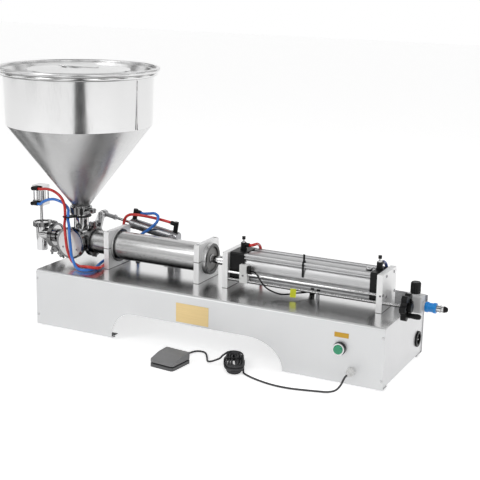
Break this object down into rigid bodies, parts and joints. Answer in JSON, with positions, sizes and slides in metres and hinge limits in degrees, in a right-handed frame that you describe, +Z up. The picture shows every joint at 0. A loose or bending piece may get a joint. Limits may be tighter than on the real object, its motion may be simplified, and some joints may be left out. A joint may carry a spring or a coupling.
{
  "type": "piston paste filling machine",
  "caption": "Benchtop pneumatic piston filler: cone hopper with lid, rotary valve, dosing nozzle, product and air cylinders on a sheet-metal base, with a foot pedal on its cord.",
  "frame": {"origin": "centre of the base cabinet, on the floor plane under its feet", "axes": "+X from the hopper to the air inlet, +Y from the operator's side to the back, +Z up"},
  "size_m": [1.2585, 0.4911, 0.6923],
  "materials": {
    "cabinet_steel": "satin, with a mirror top",
    "polished_steel": "polished",
    "satin_steel": "fine satin",
    "hopper_steel": "spun satin",
    "light_aluminium": "milled",
    "barrel_aluminium": "anodised",
    "black_plastic": "fine grain",
    "black_rubber": "matte",
    "white_plastic": "smooth",
    "grey_plastic": "fine grain",
    "pale_metal": "satin",
    "red_tube": "gloss",
    "blue_plastic": "gloss",
    "green_lens": "gloss",
    "dark_cord": "matte"
  },
  "bodies": {
    "machine": {"base_cover": "cabinet_steel", "left_end_panel": "cabinet_steel", "right_end_panel": "cabinet_steel", "feet": "black_rubber", "lower_clamp_plates": "light_aluminium", "upper_clamp_plates": "light_aluminium", "clamp_bolts": "polished_steel", "product_cylinder": "satin_steel", "valve_body": "polished_steel", "valve_front_cover": "polished_steel", "tri_clamps": "polished_steel", "hopper": "hopper_steel", "tube_clip": "black_plastic", "nozzle_body": "polished_steel", "nozzle_air_cylinder": "polished_steel", "air_end_plates": "light_aluminium", "air_cylinder_caps": "black_plastic", "air_barrel": "barrel_aluminium", "guide_rod": "polished_steel", "rail_post": "polished_steel", "actuator_bracket": "satin_steel", "regulator_bracket": "satin_steel", "regulator_body": "pale_metal", "slide_valve_nipple": "polished_steel", "button_housing": "polished_steel", "mains_inlet": "black_plastic", "cable_gland": "white_plastic", "control_box": "pale_metal", "solenoid_valves": "pale_metal", "air_fittings": "black_plastic", "nozzle_tubes": "red_tube", "cylinder_tubes": "red_tube", "actuator_tubes": "blue_plastic", "sensor_cable": "dark_cord", "pedal_base": "black_plastic", "pedal_cord": "dark_cord", "pedal_cord_hank": "dark_cord"},
    "piston": {"piston_head": "white_plastic", "piston_seals": "black_rubber", "piston_rod": "polished_steel", "air_piston": "polished_steel"},
    "valve_spindle": {"valve_rotor": "polished_steel", "valve_lever": "polished_steel"},
    "rod_eye": {"rod_end": "satin_steel"},
    "actuator": {"actuator_body": "satin_steel", "actuator_fittings": "black_plastic"},
    "actuator_piston": {"actuator_rod": "polished_steel"},
    "plunger": {"nozzle_plunger": "polished_steel"},
    "slider": {"slider_block": "white_plastic", "position_sensor": "black_plastic"},
    "screw": {"lead_screw": "polished_steel", "handwheel": "black_plastic"},
    "grip": {"wheel_grip": "black_plastic"},
    "button": {"start_button": "green_lens"},
    "treadle": {"pedal_treadle": "grey_plastic"},
    "pressure_knob": {"regulator_knob": "black_plastic"},
    "left_speed_knob": {"speed_knob_left": "black_plastic"},
    "right_speed_knob": {"speed_knob_right": "black_plastic"},
    "sleeve": {"slide_valve_sleeve": "blue_plastic"},
    "lid": {"hopper_lid": "polished_steel"}
  },
  "joints": [
    {"name": "piston_stroke", "type": "slide", "parent": "machine", "child": "piston", "axis": [-1, 0, 0], "range_m": [0, 0.26]},
    {"name": "valve_turn", "type": "hinge", "parent": "machine", "child": "valve_spindle", "pos_m": [-0.45, 0, 0.215], "axis": [0, -1, 0], "range_deg": [0, 90]},
    {"name": "rod_end_pivot", "type": "hinge", "parent": "valve_spindle", "child": "rod_eye", "pos_m": [-0.42706, 0.078, 0.27475], "axis": [0, -1, 0], "range_deg": [-81, 0]},
    {"name": "actuator_pivot", "type": "hinge", "parent": "machine", "child": "actuator", "pos_m": [-0.198, 0.078, 0.237], "axis": [0, -1, 0], "range_deg": [0, 9.3], "deforming": ["actuator_tubes"]},
    {"name": "actuator_stroke", "type": "slide", "parent": "actuator", "child": "actuator_piston", "axis": [-0.9867, 0, 0.1626], "range_m": [0, 0.0797]},
    {"name": "nozzle_lift", "type": "slide", "parent": "machine", "child": "plunger", "axis": [0, 0, 1], "range_m": [0, 0.015]},
    {"name": "handwheel_turn", "type": "hinge", "parent": "machine", "child": "screw", "pos_m": [0.5, -0.044, 0.183], "axis": [1, 0, 0], "range_deg": [0, 11520]},
    {"name": "slider_travel", "type": "slide", "parent": "machine", "child": "slider", "axis": [1, 0, 0], "range_m": [0, 0.16], "deforming": ["sensor_cable"]},
    {"name": "grip_spin", "type": "hinge", "parent": "screw", "child": "grip", "pos_m": [0.53, -0.044, 0.163], "axis": [1, 0, 0], "continuous": true},
    {"name": "start_button_press", "type": "slide", "parent": "machine", "child": "button", "axis": [0, 1, 0], "range_m": [0, 0.003], "stiffness_N_per_m": 600, "springref_m": -0.003},
    {"name": "pedal_press", "type": "hinge", "parent": "machine", "child": "treadle", "pos_m": [-0.02676, -0.20117, 0.016], "axis": [0.9945, -0.1045, 0], "range_deg": [0, 3], "stiffness_Nm_per_rad": 4, "springref_deg": -5.73},
    {"name": "pressure_knob_turn", "type": "hinge", "parent": "machine", "child": "pressure_knob", "pos_m": [0.51, 0.01, 0.21], "axis": [0, 0, 1], "range_deg": [0, 1800]},
    {"name": "left_speed_knob_turn", "type": "hinge", "parent": "machine", "child": "left_speed_knob", "pos_m": [0.052, 0, 0.28], "axis": [0, 0, 1], "range_deg": [0, 2880]},
    {"name": "right_speed_knob_turn", "type": "hinge", "parent": "machine", "child": "right_speed_knob", "pos_m": [0.42, 0, 0.28], "axis": [0, 0, 1], "range_deg": [0, 2880]},
    {"name": "shut_off_slide", "type": "slide", "parent": "machine", "child": "sleeve", "axis": [1, 0, 0], "range_m": [0, 0.008]},
    {"name": "lid_lift", "type": "slide", "parent": "machine", "child": "lid", "axis": [0, 0, 1], "range_m": [0, 0.1]}
  ],
  "couplings": [
    {"joint": "rod_end_pivot", "follows": "valve_turn", "ratio": -0.89793},
    {"joint": "actuator_pivot", "follows": "valve_turn", "ratio": 0.10207},
    {"joint": "actuator_stroke", "follows": "valve_turn", "m_per_rad": 0.050673},
    {"joint": "slider_travel", "follows": "handwheel_turn", "m_per_rad": 0.00079577}
  ]
}
